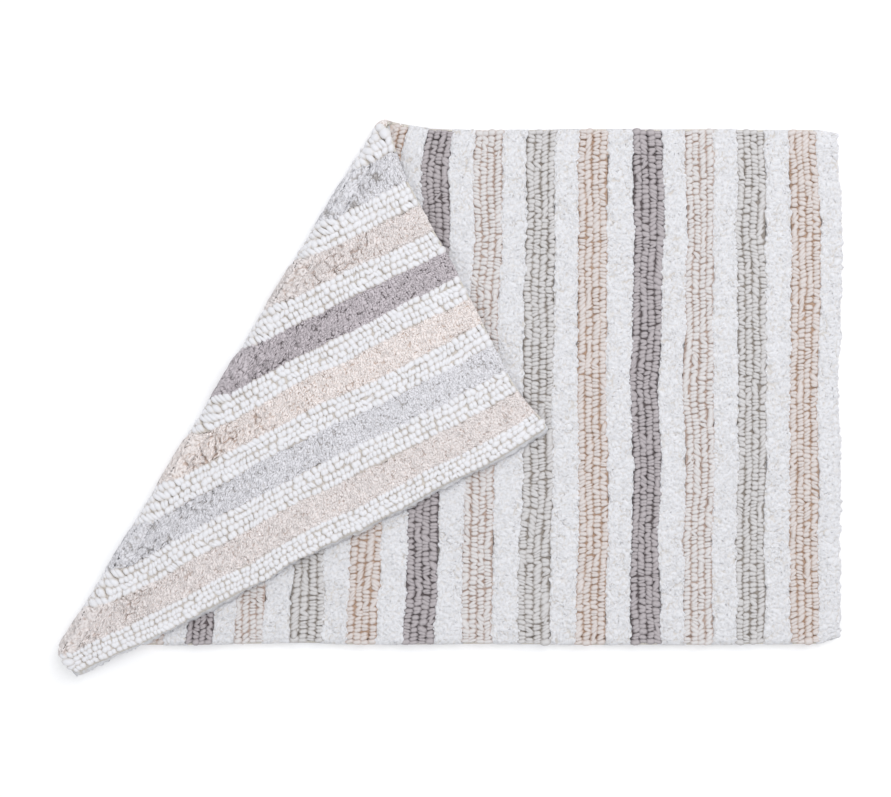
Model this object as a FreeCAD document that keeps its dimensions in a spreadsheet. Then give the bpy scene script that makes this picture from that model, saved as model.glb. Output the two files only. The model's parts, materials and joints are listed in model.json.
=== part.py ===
import FreeCAD, Part
import math
import os

# Reversible tufted cotton bath mat, 786 x 508 mm, with one end turned over on a slanting fold.
# Millimetres. +X along the mat, +Y along its stripes, +Z up. The origin is the middle of the
# flat mat's outline, on the underside.
#
# Every band of yarn is tufted through the woven base cloth, so it shows as loops on one face and
# as cut pile on the other. Across the fold the cloth bends in equal steps: narrow strips of mat
# between hinge lines, which all lie on the middle of the cloth, where it neither stretches nor
# shrinks. The inner faces are bevelled by half a step, so they close up when the mat is folded
# and open when it lies flat. Every piece is made flat and then turned over with its part.

SIZES = (
    ("mat_length", 786, "outline along the mat, across the stripes"),
    ("mat_width", 508, "outline along the stripes"),
    ("stripe_count", 15, "coloured stripes"),
    ("stripe_width", 27.2, "one coloured stripe"),
    ("end_band", 21, "white band outside the first and last stripe, with the hem"),
    ("stripe_rows", 4, "rows of yarn in a coloured stripe"),
    ("white_rows", 3, "rows of yarn in a white band"),
    ("row_yarn", 1.6, "thickness of a row where it passes through the cloth"),
    ("row_stop", 9, "from the outline to where the rows stop passing through"),
    ("pile_height", 6.5, "loops or cut pile on either face"),
    ("cloth_thick", 1.2, "woven base cloth"),
    ("hem_width", 3, "turned hem beyond the pile"),
    ("hem_thick", 2.4, "turned hem over both faces of the cloth"),
    ("hem_wrap", 2, "how far the hem wraps over the edge of the cloth"),
    ("thread_width", 0.8, "lock stitch along the hem"),
    ("thread_thick", 0.4, "lock stitch above and below the hem"),
    ("thread_inset", 1.1, "from the outline to the lock stitch"),
    ("fold_top", 338.6, "from the turned end to the fold line, on the +Y edge"),
    ("fold_bottom", 29.5, "from the turned end to the fold line, on the -Y edge"),
    ("fold_strips", 3, "narrow strips between the hinge lines"),
    ("layer_gap", 1.6, "between the two layers when folded"),
    ("hinge_play", 0.3, "between neighbouring parts at a hinge line"),
)

DERIVED = (
    ("stripe_pitch",
     "(sizes.mat_length - 2 * sizes.end_band - sizes.stripe_width) / (sizes.stripe_count - 1)"),
    ("white_width", "derived.stripe_pitch - sizes.stripe_width"),
    ("total_thick", "2 * sizes.pile_height + sizes.cloth_thick"),
    ("cloth_middle", "sizes.pile_height + sizes.cloth_thick / 2"),
    ("pile_length", "sizes.mat_width - 2 * sizes.hem_width"),
    ("hinge_turn", "180 / (sizes.fold_strips + 1)"),
    ("fold_radius", "derived.total_thick / 2 + sizes.layer_gap / 2"),
    ("strip_width", "2 * derived.fold_radius * tan(derived.hinge_turn / 2)"),
    ("fold_half", "derived.strip_width * sizes.fold_strips / 2"),
    ("bevel", "(derived.total_thick / 2) * tan(derived.hinge_turn / 2)"),
    ("fold_x_top", "sizes.fold_top - sizes.mat_length / 2"),
    ("fold_x_bottom", "sizes.fold_bottom - sizes.mat_length / 2"),
    ("reach", "2 * (sizes.mat_length + sizes.mat_width)"),
)

COLOURS = ("rose", "sage", "peach", "taupe")
SMALLEST_PIECE = 6.0    # a corner of a band narrower than this beyond the fold is left out

doc = FreeCAD.newDocument("bath_mat")


def make_sheet():
    """Put every driving size in a cell of the sheet, under its own alias."""
    sheet = doc.addObject("Spreadsheet::Sheet", "sizes")
    for row, (alias, number, meaning) in enumerate(SIZES, start=1):
        sheet.set(f"A{row}", alias)
        sheet.set(f"B{row}", str(number))
        sheet.set(f"C{row}", meaning)
        sheet.setAlias(f"B{row}", alias)
    doc.recompute()
    return sheet


def make_derived():
    """Hold the sizes that follow from the sheet as properties bound to its cells."""
    holder = doc.addObject("App::VarSet", "derived")
    for name, formula in DERIVED:
        holder.addProperty("App::PropertyFloat", name, "Derived")
        holder.setExpression(name, formula)
        doc.recompute()
    return holder


def bind(feature, formulas):
    """Bind each named property of a feature to a formula over the sheet."""
    for name, formula in formulas.items():
        feature.setExpression(name, formula)
    return feature


def block(name, low, size):
    """A box from its lowest corner and its size, both three formulas."""
    feature = doc.addObject("Part::Box", name)
    formulas = dict(zip(("Length", "Width", "Height"), size))
    formulas.update(zip(("Placement.Base.x", "Placement.Base.y", "Placement.Base.z"), low))
    return bind(feature, formulas)


def join(name, shapes):
    """Several pieces made one."""
    feature = doc.addObject("Part::MultiFuse", name)
    feature.Shapes = shapes
    return feature


def cut(name, base, tool):
    """A piece with a tool's space taken out."""
    feature = doc.addObject("Part::Cut", name)
    feature.Base = base
    feature.Tool = tool
    return feature


def common(name, base, tool):
    """The part of a piece that lies inside a region."""
    feature = doc.addObject("Part::Common", name)
    feature.Base = base
    feature.Tool = tool
    return feature


def make_band(name, low_x, width, rows):
    """One band of yarn: pile on both faces, joined by its rows through the cloth."""
    low_y = "-derived.pile_length / 2"
    slab = (width, "derived.pile_length", "sizes.pile_height")
    back = block(f"{name}_back", (low_x, low_y, "0"), slab)
    front = block(f"{name}_front", (low_x, low_y, "sizes.pile_height + sizes.cloth_thick"), slab)
    yarns = []
    for row in range(rows):
        middle = f"({low_x}) + ({width}) * {2 * row + 1} / {2 * rows}"
        low = (f"{middle} - sizes.row_yarn / 2", "sizes.row_stop - sizes.mat_width / 2",
               "sizes.pile_height")
        size = ("sizes.row_yarn", "sizes.mat_width - 2 * sizes.row_stop", "sizes.cloth_thick")
        yarns.append(block(f"{name}_row_{row + 1}", low, size))
    return join(name, [back, front] + yarns), yarns


def make_bands():
    """Every band, the white ones first, as (label, solid), and with them all their rows of yarn."""
    count = int(sizes.stripe_count)
    first = "-sizes.mat_length / 2 + sizes.end_band"
    bands = []
    yarns = []
    for index in range(1, count + 2):
        if index == 1:
            low_x = "-sizes.mat_length / 2 + sizes.hem_width"
        else:
            low_x = f"{first} + {index - 1} * derived.stripe_pitch - derived.white_width"
        outer = index in (1, count + 1)
        width = "sizes.end_band - sizes.hem_width" if outer else "derived.white_width"
        solid, rows = make_band(f"flat_white_{index:02d}", low_x, width, int(sizes.white_rows))
        bands.append((f"white_band_{index:02d}", solid))
        yarns += rows
    for index in range(1, count + 1):
        low_x = f"{first} + {index - 1} * derived.stripe_pitch"
        colour = COLOURS[(index - 1) % len(COLOURS)]
        solid, rows = make_band(f"flat_stripe_{index:02d}", low_x, "sizes.stripe_width",
                                int(sizes.stripe_rows))
        bands.append((f"stripe_{index:02d}_{colour}", solid))
        yarns += rows
    return bands, yarns


def plate(name, inset, low_z, height):
    """A flat plate as large as the outline less an inset all round."""
    low = (f"-sizes.mat_length / 2 + ({inset})", f"-sizes.mat_width / 2 + ({inset})", low_z)
    size = (f"sizes.mat_length - 2 * ({inset})", f"sizes.mat_width - 2 * ({inset})", height)
    return block(name, low, size)


def make_cloth(yarns):
    """The base cloth, with a slot for each row of yarn."""
    sheet = plate("flat_cloth_sheet", "sizes.hem_width - sizes.hem_wrap", "sizes.pile_height",
                  "sizes.cloth_thick")
    return sheet, cut("flat_cloth", sheet, join("flat_yarn_rows", yarns))


def make_hem(sheet):
    """The turned hem, wrapped over the edge of the cloth all round."""
    low_z = "derived.cloth_middle - sizes.hem_thick / 2"
    outer = plate("flat_hem_outer", "0", low_z, "sizes.hem_thick")
    inner = plate("flat_hem_inner", "sizes.hem_width", low_z, "sizes.hem_thick")
    return cut("flat_hem", cut("flat_hem_ring", outer, inner), sheet)


def make_thread():
    """The lock stitch: one line of thread above the hem and one below."""
    lines = []
    above = "derived.cloth_middle + sizes.hem_thick / 2"
    below = "derived.cloth_middle - sizes.hem_thick / 2 - sizes.thread_thick"
    for side, low_z in (("above", above), ("below", below)):
        outer = plate(f"flat_thread_{side}_outer", "sizes.thread_inset", low_z,
                      "sizes.thread_thick")
        inner = plate(f"flat_thread_{side}_inner", "sizes.thread_inset + sizes.thread_width",
                      low_z, "sizes.thread_thick")
        lines.append(cut(f"flat_thread_{side}", outer, inner))
    return join("flat_thread", lines)


def fold_frame():
    """The fold line's frame: x away from the main part, y along the fold, origin mid-fold."""
    run = derived.fold_x_top - derived.fold_x_bottom
    angle = 90 + math.degrees(math.atan2(sizes.mat_width, run))
    middle = FreeCAD.Vector((derived.fold_x_top + derived.fold_x_bottom) / 2, 0, 0)
    return FreeCAD.Placement(middle, FreeCAD.Rotation(FreeCAD.Vector(0, 0, 1), angle))


def make_region(name, low_s, high_s):
    """Everything between two hinge lines of the flat mat, or outside one where the other is None.

    Below the hinge lines the sides stand upright. Above them they lean in by the bevel.
    """
    low = f"({low_s}) + sizes.hinge_play / 2" if low_s else "-derived.reach"
    high = f"({high_s}) - sizes.hinge_play / 2" if high_s else "derived.reach"
    lower = block(f"{name}_lower", (low, "-derived.reach", "0"),
                  (f"({high}) - ({low})", "2 * derived.reach", "derived.cloth_middle"))
    upper = doc.addObject("Part::Wedge", f"{name}_upper")
    bind(upper, {
        "Xmin": "-derived.reach",
        "Xmax": "derived.reach",
        "X2min": "-derived.reach",
        "X2max": "derived.reach",
        "Ymin": "0",
        "Ymax": "derived.total_thick - derived.cloth_middle",
        "Zmin": low,
        "Zmax": high,
        "Z2min": f"({low}) + derived.bevel" if low_s else low,
        "Z2max": f"({high}) - derived.bevel" if high_s else high,
        "Placement.Base.z": "derived.cloth_middle",
    })
    # The wedge tapers along its own y, which is turned to stand upright: y to z, z to x.
    upper.Placement.Rotation = FreeCAD.Rotation(FreeCAD.Vector(1, 1, 1), 120)
    region = join(name, [lower, upper])
    region.Placement = frame
    return region


def fold_placements():
    """Where each part of the mat goes when it is folded, from the main part to the flap."""
    turned = FreeCAD.Placement()
    places = [turned]
    for step in range(int(sizes.fold_strips) + 1):
        hinge = FreeCAD.Vector(step * derived.strip_width - derived.fold_half, 0,
                               derived.cloth_middle)
        turn = FreeCAD.Rotation(FreeCAD.Vector(0, 1, 0), -derived.hinge_turn)
        turned = turned.multiply(FreeCAD.Placement(FreeCAD.Vector(), turn, hinge))
        places.append(frame.multiply(turned).multiply(frame.inverse()))
    return places


def across_fold(solid):
    """How far a flat piece reaches across the fold line: its lowest and highest fold x."""
    box = solid.Shape.BoundBox
    corners = [FreeCAD.Vector(x, y, 0) for x in (box.XMin, box.XMax) for y in (box.YMin, box.YMax)]
    reaches = [frame.inverse().multVec(corner).x for corner in corners]
    return min(reaches), max(reaches)


def take(label, solid, region, place):
    """One sub-part: the piece of a flat solid in a region, turned over with its part."""
    piece = common(f"node_{label}", solid, region)
    piece.Label = label
    piece.Placement = place
    nodes.append(piece)
    return piece


sizes = make_sheet()
derived = make_derived()
frame = fold_frame()
nodes = []

bands, yarn_rows = make_bands()
cloth_sheet, cloth = make_cloth(yarn_rows)
hem = make_hem(cloth_sheet)
thread = make_thread()
doc.recompute()

strips = int(sizes.fold_strips)
hinge_lines = [f"{step} * derived.strip_width - derived.fold_half" for step in range(strips + 1)]
places = fold_placements()

# The main part lies on its back pile, and the flap is turned right over onto it.
main_region = make_region("main_region", None, hinge_lines[0])
flap_region = make_region("flap_region", hinge_lines[-1], None)
for label, solid in bands:
    low, high = across_fold(solid)
    if low < -derived.fold_half - SMALLEST_PIECE:
        take(label, solid, main_region, places[0])
    if high > derived.fold_half + SMALLEST_PIECE:
        take(f"flap_{label}", solid, flap_region, places[-1])
for prefix, region, place in (("", main_region, places[0]), ("flap_", flap_region, places[-1])):
    take(f"{prefix}base_cloth", cloth, region, place)
    take(f"{prefix}edge_hem", hem, region, place)
    take(f"{prefix}hem_thread", thread, region, place)

# The strips between the hinge lines carry the bands that the fold crosses. They are narrower
# than a row's slot is long, so here the cloth stays whole between the two faces of pile.
crossing = [solid for label, solid in bands
            if across_fold(solid)[0] < derived.fold_half
            and across_fold(solid)[1] > -derived.fold_half]
crossing_bands = doc.addObject("Part::Compound", "crossing_bands")
crossing_bands.Links = crossing
crossing_pile = cut("crossing_pile", crossing_bands, cloth_sheet)
for index in range(1, strips + 1):
    region = make_region(f"strip_region_{index}", hinge_lines[index - 1], hinge_lines[index])
    take(f"fold_strip_{index}_cloth", cloth_sheet, region, places[index])
    take(f"fold_strip_{index}_tufts", crossing_pile, region, places[index])
    take(f"fold_strip_{index}_hem_ends", hem, region, places[index])

doc.recompute()

for feature in doc.Objects:
    if "Invalid" in feature.State or "Error" in feature.State:
        raise RuntimeError(f"{feature.Name} failed: {feature.State}")
for piece in nodes:
    if piece.Shape.isNull() or not piece.Shape.isValid() or not piece.Shape.Solids:
        raise RuntimeError(f"{piece.Label} has no sound shape")

os.makedirs("parts", exist_ok=True)
for piece in nodes:
    piece.Shape.exportStep(f"parts/{piece.Label}.step")

print(len(nodes), "nodes")
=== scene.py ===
import json
import math

import bpy
import numpy as np
from bpy.props import FloatProperty, FloatVectorProperty, IntProperty, PointerProperty
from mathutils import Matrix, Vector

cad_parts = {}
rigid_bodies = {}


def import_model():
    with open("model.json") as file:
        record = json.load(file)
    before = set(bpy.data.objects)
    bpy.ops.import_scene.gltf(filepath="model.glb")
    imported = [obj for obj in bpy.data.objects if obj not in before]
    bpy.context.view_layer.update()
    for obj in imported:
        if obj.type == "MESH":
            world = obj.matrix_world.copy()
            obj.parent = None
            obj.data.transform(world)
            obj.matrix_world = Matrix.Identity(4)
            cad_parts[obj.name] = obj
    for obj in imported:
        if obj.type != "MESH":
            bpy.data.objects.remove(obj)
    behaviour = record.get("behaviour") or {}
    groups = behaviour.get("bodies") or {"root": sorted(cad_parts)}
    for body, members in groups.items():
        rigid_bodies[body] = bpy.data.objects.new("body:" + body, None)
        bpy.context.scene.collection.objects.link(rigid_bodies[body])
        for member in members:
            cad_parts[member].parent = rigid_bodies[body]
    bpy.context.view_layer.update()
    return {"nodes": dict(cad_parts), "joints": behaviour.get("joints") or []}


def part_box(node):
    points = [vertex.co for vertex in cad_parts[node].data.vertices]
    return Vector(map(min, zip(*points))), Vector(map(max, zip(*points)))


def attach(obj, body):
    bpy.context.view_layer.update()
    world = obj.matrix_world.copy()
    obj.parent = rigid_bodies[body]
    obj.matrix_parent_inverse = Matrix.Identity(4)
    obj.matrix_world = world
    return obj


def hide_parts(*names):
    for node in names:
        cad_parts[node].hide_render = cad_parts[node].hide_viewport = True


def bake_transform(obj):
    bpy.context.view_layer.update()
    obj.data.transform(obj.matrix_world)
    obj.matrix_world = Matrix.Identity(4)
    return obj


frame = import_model()

bl_info = {
    "name": "Striped tufted bath mat",
    "version": (1, 0, 0),
    "blender": (4, 5, 0),
    "location": "3D View > Sidebar > Bath Mat",
    "description": "Loops, cut pile, base cloth and hem of a reversible striped bath mat",
    "category": "Object",
}

# Lengths are in metres. A point of the mat is named by its place on the flat mat, before it was
# folded or pulled about: u along the mat, v along its stripes, and h out from the middle of the
# base cloth, positive on the front.

HINGES = [np.array(joint["pos_m"]) for joint in frame["joints"]]
BODIES = [frame["joints"][0]["parent"]] + [joint["child"] for joint in frame["joints"]]
ALONG = np.array(frame["joints"][0]["axis"])
OUTWARD = np.cross(ALONG, (0, 0, 1))
FOLDS = len(HINGES)
TURN = math.pi / FOLDS

HEM_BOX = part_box("edge_hem")
STRIPE_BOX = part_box("stripe_08_taupe")
CLOTH_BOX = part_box("base_cloth")
HALF_LENGTH = HEM_BOX[1].x
HALF_WIDTH = HEM_BOX[1].y
HEM_THICK = HEM_BOX[1].z - HEM_BOX[0].z
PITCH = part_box("stripe_09_rose")[0].x - STRIPE_BOX[0].x
STRIPE_WIDTH = STRIPE_BOX[1].x - STRIPE_BOX[0].x
HEM_WIDTH = HALF_WIDTH - STRIPE_BOX[1].y
CLOTH_THICK = CLOTH_BOX[1].z - CLOTH_BOX[0].z
MIDDLE = (CLOTH_BOX[0].z + CLOTH_BOX[1].z) / 2
PILE = CLOTH_BOX[0].z      # the back's yarn, from the floor to the cloth

# The fold, measured across it from its middle line: s is positive on the turned-over side.
STEP = np.linalg.norm(HINGES[1] - HINGES[0])
FIRST = -STEP * (FOLDS - 1) / 2
RADIUS = (HINGES[-1][2] - HINGES[0][2]) / 2
FOLD_MIDDLE = HINGES[0] - FIRST * OUTWARD
NOSE_START = FIRST - STEP / 2
NOSE_HEIGHT = MIDDLE + RADIUS

# Each yarn: what it looks like, and its sRGB colours on its loops, in the shade between them, and
# cut open. Cut pile is paler than loops, because its open tips scatter the light.
YARNS = {"white": ("Bleached", "E8E8ED", "CDC6BF", "E1E1E5"),
         "rose": ("Pale rose-beige", "DBD9DA", "B49E92", "E9E2E1"),
         "sage": ("Pale sage-grey", "D4D2D3", "918880", "E3E2E7"),
         "peach": ("Pale peach", "DAD4D3", "AE907A", "EFE7E5"),
         "taupe": ("Mauve-taupe", "BAB3B6", "594F50", "CBC3C8")}
COLOURS = tuple(YARNS)[1:]
STRIPES = sum(name.startswith("stripe_") for name in frame["nodes"]) + 1   # the first is all flap
FIRST_STRIPE = STRIPE_BOX[0].x - (8 - 1) * PITCH                           # the box is the 8th's

FAR = 1.0                  # a line of the fold past the whole mat: no limit on that side

# What lies flat: its nodes' prefix, its body, the hinge lines crossed, and the lines of the fold
# between which its front lies, and its back and cloth.
FLAT_PARTS = (("", BODIES[0], 0, (-FAR, FIRST), (-FAR, NOSE_START)),
              ("flap_", BODIES[-1], FOLDS, (-FIRST, FAR), (-NOSE_START, FAR)))

ON_FLOOR = 0.0002          # least height of anything above the floor
FRONT_GRAIN = 0.0009       # grid of the front's cut pile where it shows
BACK_GRAIN = 0.00062       # grid of the back's, which shows closer on the flap and the fold
HIDDEN_GRAIN = 0.0022      # grid of pile that lies face down or inside the fold
BED_GRAIN = 0.005          # grid of the low blanket between loops
LOOP_SHAPE = (8, 4)        # sides and rings of a loop that shows
HIDDEN_LOOP = (5, 3)       # of one that is hidden, and of a stitch
STEPS_TO_MEET = 14         # steps in which a line of the fold is found to far below a fibre
LEAN_AT = -0.165           # where along the mat the stripes lean most
LEAN_SPREAD = 0.226        # how far from there the lean falls to 1/e
BELLY_SPREAD = 0.016       # how far from its middle line the fold's outside stands out
END_LOOPS = 0.0008         # from the mat's end to its last row of loops
END_PILE = 0.0003          # and to its last cut pile
SUNK = 0.0003              # how deep loops and stitches start in the hem
THREAD_WIDTH = 0.0008      # sewing thread
THREAD_RISE = 0.0005       # how far it stands above the hem
CAMERA_HEIGHT = 1.3
VIEW_WIDTH = 0.8735        # what the camera sees across, at the height of the base cloth
FLOOR_REACH = 6.0          # half the floor's side


# Numbers

def ease(x):
    """0 below 0, 1 above 1, and 3x^2 - 2x^3 between."""
    x = np.clip(x, 0, 1)
    return x * x * (3 - 2 * x)


def scatter(i, j, seed):
    """A repeatable number from -1 to 1 for each lattice point: the fraction of a large sine."""
    value = np.sin(i * 127.1 + j * 311.7 + seed * 74.7) * 43758.5453
    return 2 * (value - np.floor(value)) - 1


def noise(x, y, size, seed):
    """Smooth noise from -1 to 1: scatter at the corners of squares of a size, eased between."""
    x = np.asarray(x) / size
    y = np.asarray(y) / size
    i = np.floor(x)
    j = np.floor(y)
    a = ease(x - i)
    b = ease(y - j)
    low = scatter(i, j, seed) * (1 - a) + scatter(i + 1, j, seed) * a
    high = scatter(i, j + 1, seed) * (1 - a) + scatter(i + 1, j + 1, seed) * a
    return low * (1 - b) + high * b


def ripple(x, size, seed):
    """Smooth noise from -1 to 1 along a line."""
    return noise(x, 0 * x, size, seed)


def tufts(x, y, size, seed):
    """Tufts packed side by side: one centre scattered in each square of a size. Gives how far
    each point is from its nearest centre, and how much nearer that is than the next, in sizes."""
    x = x / size
    y = y / size
    i, j = np.floor(x), np.floor(y)
    nearest = np.full(x.shape, 9.0)
    second = np.full(x.shape, 9.0)
    for across_by in (-1, 0, 1):
        for down_by in (-1, 0, 1):
            a, b = i + across_by, j + down_by
            centre_x = a + 0.5 + 0.42 * scatter(a, b, seed)
            centre_y = b + 0.5 + 0.42 * scatter(a, b, seed + 0.37)
            away = np.hypot(x - centre_x, y - centre_y)
            second = np.minimum(second, np.maximum(away, nearest))
            nearest = np.minimum(nearest, away)
    return nearest, second - nearest


# From the flat mat to where it lies

def sizes():
    """The sizes set in the add-on's panel."""
    return bpy.context.scene.bath_mat_sizes


def from_fold(x, y, way):
    """How far a place is from the middle of the fold, in one direction."""
    return (x - FOLD_MIDDLE[0]) * way[0] + (y - FOLD_MIDDLE[1]) * way[1]


def pulled(u, v):
    """Where a flat point lies once the mat has been pulled about: under the flap the stripes lean
    with distance down the mat, on a bell curve; stripes and edges wander; the long edges draw in
    a little, and the corners more, but one is drawn out to a point; and at each end of the fold
    the cloth pushes out an ear."""
    size = sizes()
    down = (HALF_WIDTH - v) / (2 * HALF_WIDTH)
    main_side = -(u - FOLD_MIDDLE[0]) * OUTWARD[0] - v * OUTWARD[1]
    bell = np.exp(-((u - LEAN_AT) / LEAN_SPREAD) ** 2)
    x = u - size.lean * down * bell * ease(main_side / 0.09)
    x = x + size.wander * (noise(u, v, 0.075, 5) + 0.35 * noise(u, v, 0.030, 6))
    y = v * (size.draw + 0.6 * size.wander / HALF_WIDTH * ripple(u, 0.052, 9))
    near_end = np.clip(v / HALF_WIDTH, -1.02, 1.02) ** 9
    y = y + size.ear * np.exp(-((main_side + 0.006) / 0.030) ** 2) * near_end
    x = x + size.ear * 1.4 * np.exp(-((main_side - 0.010) / 0.045) ** 2) * np.maximum(near_end, 0)
    x = x + size.wander * 0.8 * ripple(v, 0.060, 12) * (u / HALF_LENGTH) ** 5
    wide = np.where(u > 0, 0.032, 0.070)
    near_u = ease((np.abs(u) - HALF_LENGTH + wide) / wide) ** 2
    near_v = ease((np.abs(v) - HALF_WIDTH + wide) / wide) ** 2
    share = np.where(u > 0, np.where(v > 0, 0.25, 0.6), np.where(v > 0, -1.1, 0.1))
    corner = size.corner * share * near_u * near_v
    return x - np.sign(u) * np.abs(corner) * 0.25, y - np.sign(v) * corner


def across(u, v):
    """How far a flat point lies across the fold line, positive on the turned-over side."""
    return from_fold(*pulled(u, v), OUTWARD)


def crossing(fixed, s, axis):
    """The u (axis 0) or v (axis 1) at which lines of the other cross a line of the fold, found
    in a few steps."""
    found = np.zeros_like(fixed)
    for _ in range(STEPS_TO_MEET):
        place = (fixed, found) if axis else (found, fixed)
        found = found + (s - across(*place)) / OUTWARD[axis]
    return found


def span_between(fixed, limits, axis, reach):
    """Where lines of one v (axis 0) or u (axis 1) enter and leave the ground between two lines
    of the fold, the lower end first, within a reach of the mat's middle."""
    ends = []
    for s in limits:
        if abs(s) < FAR:
            ends.append(np.clip(crossing(fixed, s, axis), -reach, reach))
        else:
            ends.append(np.full(len(fixed), math.copysign(reach, s * OUTWARD[axis])))
    return ends if OUTWARD[axis] > 0 else ends[::-1]


def swell(u, v, s):
    """Slow rises of the surface, none near the fold."""
    return 0.0010 * ease((np.abs(s) - 0.02) / 0.06) * (1 + noise(u, v, 0.07, 21)) / 2


def belly(s):
    """How much higher yarn stands on the outside of the fold: half the bulge at its middle
    line, less on a bell curve."""
    return sizes().bulge * 0.5 * np.exp(-(s / BELLY_SPREAD) ** 2)


def lay(points, part):
    """Points (u, v, h) to their place at rest. part counts the hinge lines crossed: 0 is the
    main part, 1 to 3 the strips, 4 the flap, each turned by that many steps about its hinge.
    Part "nose" bends evenly round the fold: angle in proportion to s, radius less h, and pushed
    out by the bulge times sin^2 of the angle. Nothing goes below the floor."""
    size = sizes()
    u, v, h = points.T
    x, y = pulled(u, v)
    s = from_fold(x, y, OUTWARD)
    run = from_fold(x, y, ALONG)
    if part == "nose":
        angle = math.pi * (s - NOSE_START) / (-2 * NOSE_START)
        radius = RADIUS - h
        s_now = NOSE_START + radius * np.sin(angle) + size.bulge * np.sin(angle) ** 2
        z = NOSE_HEIGHT - radius * np.cos(angle)
    elif part == 0:
        s_now = s
        z = MIDDLE + h + swell(u, v, s)
    else:
        hinge = HINGES[part - 1]
        s_hinge = np.dot(hinge - FOLD_MIDDLE, OUTWARD)
        past = s - FIRST - STEP * (part - 1)
        turn = TURN * part
        s_now = s_hinge + past * math.cos(turn) - h * math.sin(turn)
        z = hinge[2] + past * math.sin(turn) + h * math.cos(turn)
    x = FOLD_MIDDLE[0] + s_now * OUTWARD[0] + run * ALONG[0]
    y = FOLD_MIDDLE[1] + s_now * OUTWARD[1] + run * ALONG[1]
    if part == FOLDS:
        lean_out = np.maximum(-HALF_WIDTH - y, 0)
        z = z + swell(u, v, s) - 0.15 * lean_out
    z = np.maximum(z, ON_FLOOR)
    return np.stack([x, y, z], axis=1)


# Meshes

def placed(name, data):
    """A new object of a mesh, light or camera, in the scene."""
    made = bpy.data.objects.new(name, data)
    bpy.context.scene.collection.objects.link(made)
    return made


class Skin:
    """Points and faces gathered for one piece, with each point's painted light and yarn place."""

    def __init__(self):
        self.points, self.faces, self.tips, self.yarns = [], [], [], []
        self.count = 0

    def add(self, points, side, part, faces, material, light_share=None, yarn=None):
        """points are (u, v, h) with h outwards on the front or the back, and are laid here.
        faces is a list of index arrays with 3 or 4 columns. Not given, the share of lit colour
        against painted shade is 0, and without a yarn place it is the place on the flat mat."""
        self.tips.append(np.zeros(len(points)) if light_share is None else light_share)
        self.yarns.append(points[:, :2].copy() if yarn is None else yarn)
        points[:, 2] *= side
        self.points.append(lay(points, part))
        for face in faces:
            self.faces.append((face[:, ::side] + self.count, material))
        self.count += len(points)

    def piece(self, name, materials):
        """The gathered faces as one object."""
        mesh = bpy.data.meshes.new(name)
        corners = np.concatenate([face.ravel() for face, _ in self.faces])
        sides = np.concatenate([np.full(len(f), f.shape[1]) for f, _ in self.faces])
        wears = np.concatenate([np.full(len(f), m) for f, m in self.faces])
        mesh.vertices.add(self.count)
        mesh.loops.add(len(corners))
        mesh.polygons.add(len(sides))
        mesh.vertices.foreach_set("co", np.concatenate(self.points).ravel().astype(np.float32))
        mesh.loops.foreach_set("vertex_index", corners.astype(np.int32))
        starts = np.concatenate([[0], np.cumsum(sides)[:-1]])
        mesh.polygons.foreach_set("loop_start", starts.astype(np.int32))
        mesh.polygons.foreach_set("material_index", wears.astype(np.int32))
        mesh.polygons.foreach_set("use_smooth", np.ones(len(sides), bool))
        # The first attribute is each point's share of lit colour against painted shade.
        for label, kind, values in (("light_share", "FLOAT", self.tips), ("yarn", "FLOAT2", self.yarns)):
            attribute = mesh.attributes.new(label, kind, "POINT")
            field = "value" if kind == "FLOAT" else "vector"
            attribute.data.foreach_set(field, np.concatenate(values).ravel().astype(np.float32))
        for material in materials:
            mesh.materials.append(material)
        mesh.update(calc_edges=True)
        return placed(name, mesh)


def strip_faces(rows, columns, closed):
    """Faces of a grid of rows by columns of points, the columns joined up if closed."""
    i = np.arange(rows - 1)[:, None] * columns
    j = np.arange(columns if closed else columns - 1)[None, :]
    after = (j + 1) % columns
    return np.stack([i + j, i + after, i + columns + after, i + columns + j],
                    axis=-1).reshape(-1, 4)


def tube_faces(rings, sides):
    """Faces of a closed tube: its rings, and a fan at each end about one more point, which come
    after the rings' points, the first end's first."""
    ring = np.arange(sides)
    after = (ring + 1) % sides
    last = (rings - 1) * sides
    hub = np.full(sides, rings * sides)
    return [strip_faces(rings, sides, True), np.stack([hub, after, ring], axis=1),
            np.stack([hub + 1, last + ring, last + after], axis=1)]


def with_hubs(rings):
    """The points of a tube's rings in a row, then the middle of its first and of its last ring."""
    hubs = np.stack([rings[0].mean(axis=0), rings[-1].mean(axis=0)])
    return np.concatenate([rings.reshape(-1, 3), hubs])


def superellipse(angle, power):
    """Across and up on a rounded box: cos and sin of the angle, each to a power, signs kept."""
    cos, sin = np.cos(angle), np.sin(angle)
    return np.sign(cos) * np.abs(cos) ** power, np.sign(sin) * np.abs(sin) ** power


# Yarn

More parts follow.
